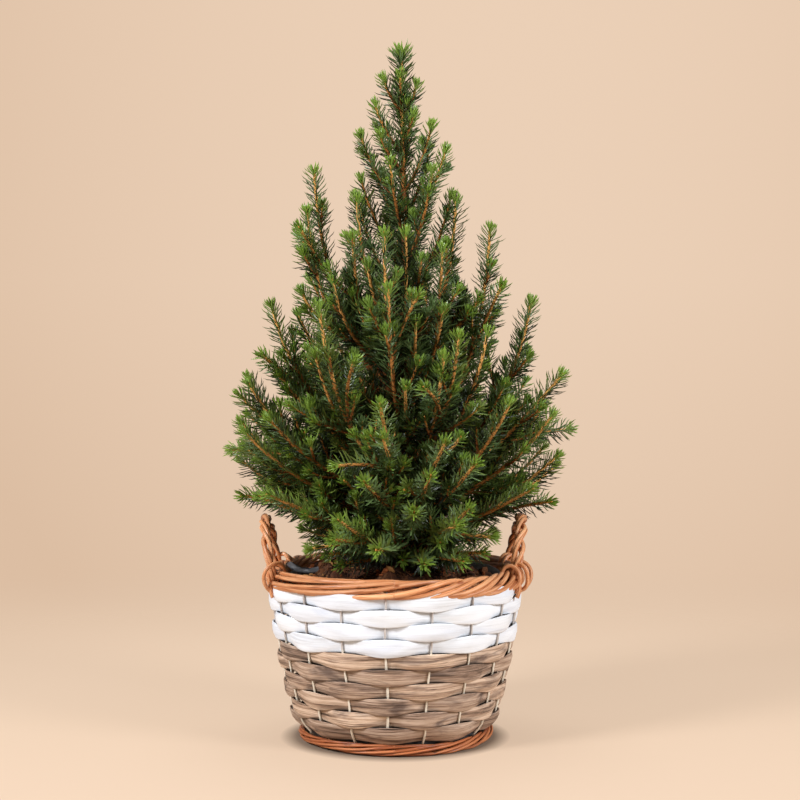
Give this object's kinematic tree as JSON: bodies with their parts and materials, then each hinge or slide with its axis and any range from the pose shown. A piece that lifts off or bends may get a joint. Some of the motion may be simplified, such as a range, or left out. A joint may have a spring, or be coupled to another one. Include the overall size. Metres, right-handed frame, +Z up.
{
  "type": "potted dwarf alberta spruce",
  "caption": "Young dwarf conifer with a conical crown of upswept boughs, growing in a nursery pot set in a round basket of woven wood strips with a twisted willow rim and loop handles.",
  "frame": {"origin": "centre of the flat underside of the basket, on the surface it stands on", "axes": "+Z up through the pot and crown, -Y the front that faces the viewer, +X to the viewer's right, in line with the two handles"},
  "size_m": [0.2692, 0.2233, 0.528],
  "materials": {
    "board": "plain rough board, weathered",
    "willow": "peeled willow rods, satin, orange-tan with darker streaks",
    "strip_grey": "weathered grey-brown wood strip with fine grain",
    "strip_white": "white painted wood strip, matt, grain showing through",
    "cane": "thin split cane, pale and satin",
    "pot_plastic": "thin dark nursery pot plastic, slightly shiny",
    "soil": "coarse moist coir and bark",
    "bark": "thin rough bark, red-brown to orange-brown on young shoots",
    "foliage": "dark green needles, waxy",
    "foliage_fresh": "young yellow-green needles, waxy"
  },
  "bodies": {
    "root": {"base_disc": "board", "foot_ring": "willow", "row_01": "strip_grey", "row_02": "strip_grey", "row_03": "strip_grey", "row_04": "strip_grey", "row_05": "strip_grey", "row_06": "strip_grey", "row_07": "strip_white", "row_08": "strip_white", "row_09": "strip_white", "row_10": "strip_white", "stake_cage": "cane", "rim": "willow", "handle_left": "willow", "handle_right": "willow", "nursery_pot": "pot_plastic", "soil": "soil", "trunk": "bark", "bough_01": "bark", "bough_02": "bark", "bough_03": "bark", "bough_04": "bark", "bough_05": "bark", "bough_06": "bark", "bough_07": "bark", "bough_08": "bark", "bough_09": "bark", "bough_10": "bark", "bough_11": "bark", "bough_12": "bark", "bough_13": "bark", "bough_14": "bark", "bough_15": "bark", "bough_16": "bark", "bough_17": "bark", "bough_18": "bark", "bough_19": "bark", "mass_leader": "foliage_fresh", "mass_01": "foliage", "mass_02": "foliage", "mass_03": "foliage", "mass_04": "foliage", "mass_05": "foliage", "mass_06": "foliage", "mass_07": "foliage", "mass_08": "foliage", "mass_09": "foliage", "mass_10": "foliage", "mass_11": "foliage", "mass_12": "foliage", "mass_13": "foliage", "mass_14": "foliage", "mass_15": "foliage", "mass_16": "foliage", "mass_17": "foliage", "mass_18": "foliage", "mass_19": "foliage", "core_high": "foliage", "core_low": "foliage"}
  },
  "joints": []
}
